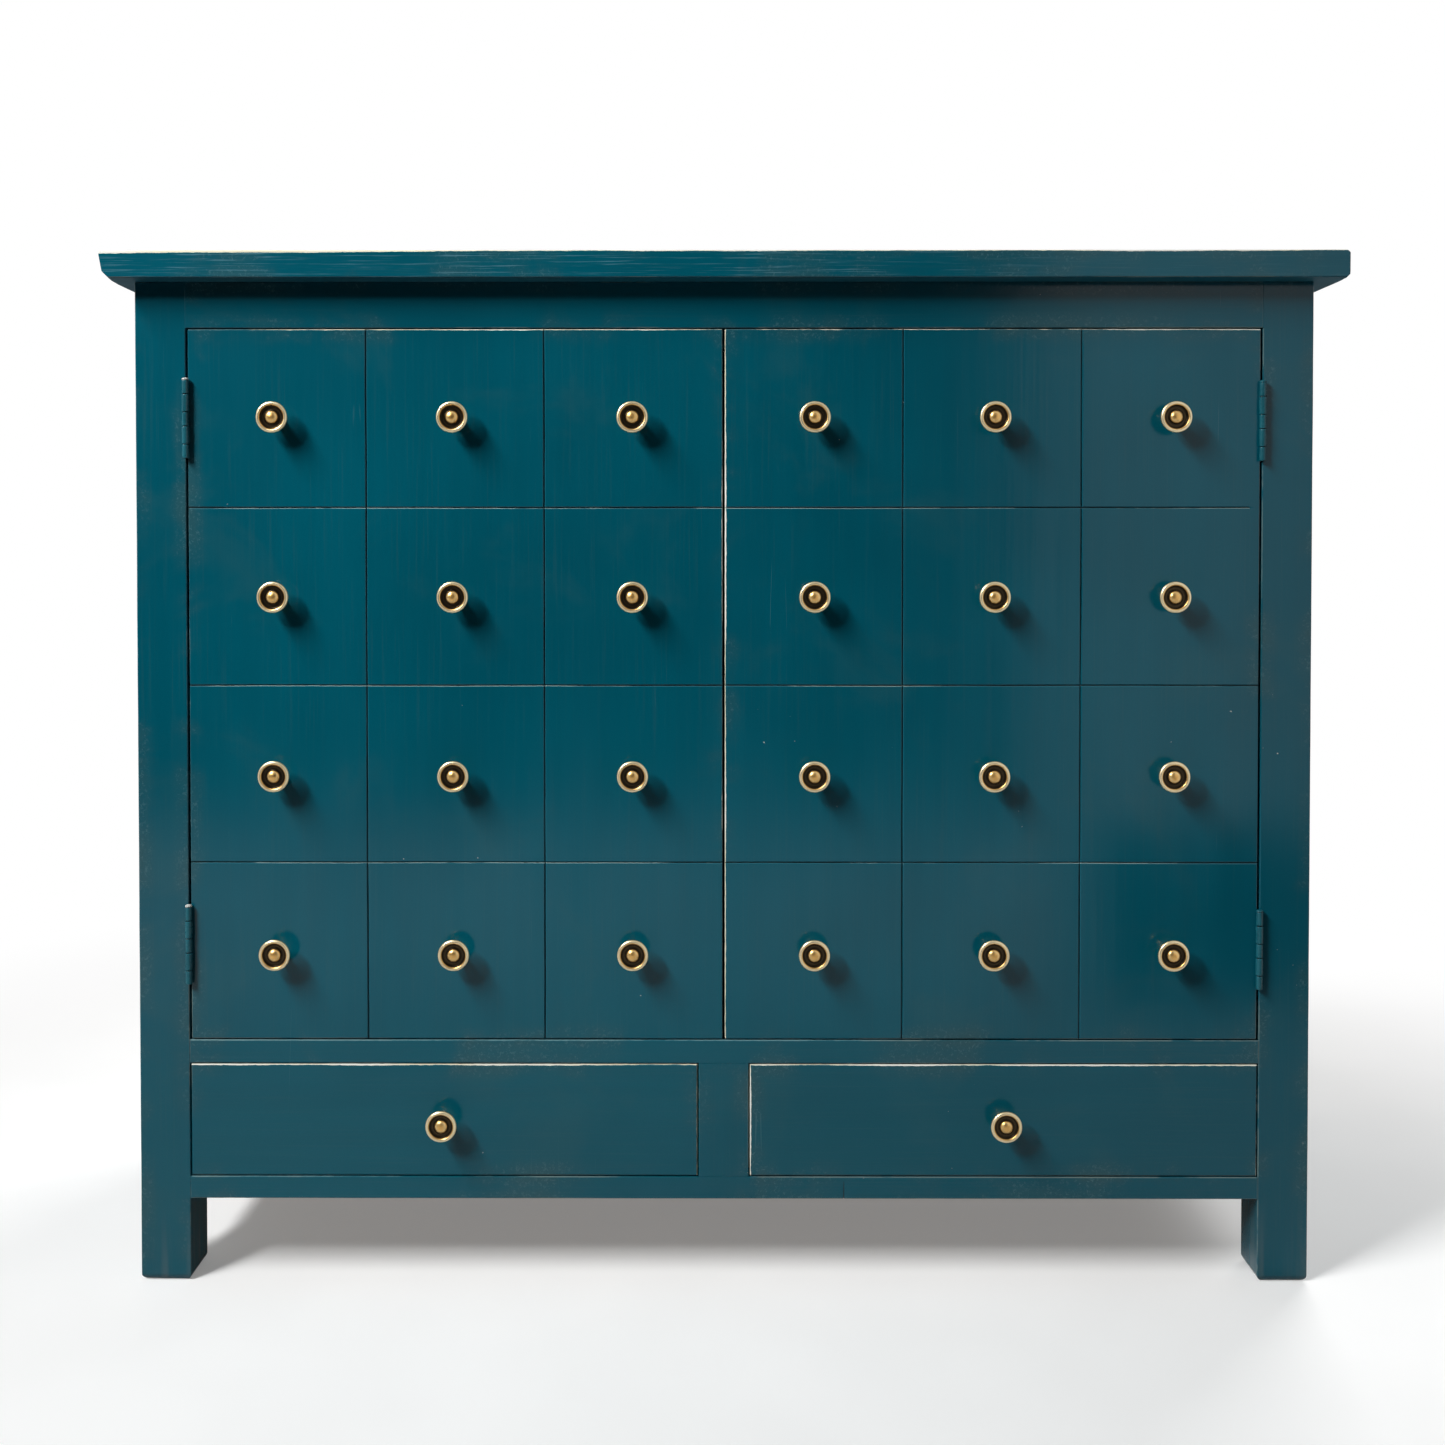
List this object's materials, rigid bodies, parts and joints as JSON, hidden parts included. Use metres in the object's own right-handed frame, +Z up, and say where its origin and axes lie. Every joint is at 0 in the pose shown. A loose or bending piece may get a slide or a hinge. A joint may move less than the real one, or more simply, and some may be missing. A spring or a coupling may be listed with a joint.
{
  "type": "apothecary cabinet",
  "caption": "Painted freestanding cabinet: hinged doors scored to look like rows of small knobbed drawers, above real sliding drawers, under an overhanging top on square legs",
  "frame": {"origin": "on the floor, under the middle of the top board's box", "axes": "+X to the right as seen from the front, +Y towards the back, +Z up"},
  "size_m": [1.1, 0.4, 0.924],
  "materials": {
    "painted_wood": "glossy teal paint, worn to a cream undercoat on the arrises",
    "bare_wood": "plain sanded softwood",
    "aged_brass": "antique brass, darkened in the recess",
    "painted_hinge": "steel leaf painted over with the teal paint",
    "steel": "plain zinc-plated steel"
  },
  "bodies": {
    "carcass": {"top_board": "painted_wood", "front_left_leg": "painted_wood", "back_left_leg": "painted_wood", "left_side_rails": "painted_wood", "left_side_panels": "painted_wood", "front_right_leg": "painted_wood", "back_right_leg": "painted_wood", "right_side_rails": "painted_wood", "right_side_panels": "painted_wood", "front_top_rail": "painted_wood", "front_middle_rail": "painted_wood", "front_bottom_rail": "painted_wood", "front_center_stile": "painted_wood", "back_top_rail": "painted_wood", "back_middle_rail": "painted_wood", "back_bottom_rail": "painted_wood", "back_boards_upper": "bare_wood", "back_boards_lower": "bare_wood", "cabinet_floor": "bare_wood", "drawer_floor": "bare_wood", "shelf": "bare_wood", "shelf_cleats": "bare_wood", "drawer_guides": "bare_wood", "drawer_stops": "bare_wood", "door_stop_rail": "painted_wood", "door_catches": "steel", "left_upper_hinge_frame_leaf": "painted_hinge", "left_lower_hinge_frame_leaf": "painted_hinge", "right_upper_hinge_frame_leaf": "painted_hinge", "right_lower_hinge_frame_leaf": "painted_hinge", "hinge_pins": "painted_hinge", "frame_hinge_screws": "steel"},
    "left_door": {"left_door_panel": "painted_wood", "left_door_upper_hinge_leaf": "painted_hinge", "left_door_lower_hinge_leaf": "painted_hinge", "left_door_knobs": "aged_brass", "left_door_knob_screws": "steel", "left_door_hinge_screws": "steel", "left_door_strike_plate": "steel"},
    "right_door": {"right_door_panel": "painted_wood", "right_door_upper_hinge_leaf": "painted_hinge", "right_door_lower_hinge_leaf": "painted_hinge", "right_door_knobs": "aged_brass", "right_door_knob_screws": "steel", "right_door_hinge_screws": "steel", "right_door_strike_plate": "steel"},
    "left_drawer": {"left_drawer_front": "painted_wood", "left_drawer_left_side": "bare_wood", "left_drawer_right_side": "bare_wood", "left_drawer_back": "bare_wood", "left_drawer_bottom": "bare_wood", "left_drawer_knob": "aged_brass", "left_drawer_knob_screw": "steel"},
    "right_drawer": {"right_drawer_front": "painted_wood", "right_drawer_left_side": "bare_wood", "right_drawer_right_side": "bare_wood", "right_drawer_back": "bare_wood", "right_drawer_bottom": "bare_wood", "right_drawer_knob": "aged_brass", "right_drawer_knob_screw": "steel"}
  },
  "joints": [
    {"name": "left_door_hinge", "type": "hinge", "parent": "carcass", "child": "left_door", "pos_m": [-0.4805, -0.18, 0.539], "axis": [0, 0, -1], "range_deg": [0, 180]},
    {"name": "right_door_hinge", "type": "hinge", "parent": "carcass", "child": "right_door", "pos_m": [0.4805, -0.18, 0.539], "axis": [0, 0, 1], "range_deg": [0, 180]},
    {"name": "left_drawer_slide", "type": "slide", "parent": "carcass", "child": "left_drawer", "axis": [0, -1, 0], "range_m": [0, 0.26]},
    {"name": "right_drawer_slide", "type": "slide", "parent": "carcass", "child": "right_drawer", "axis": [0, -1, 0], "range_m": [0, 0.26]}
  ]
}
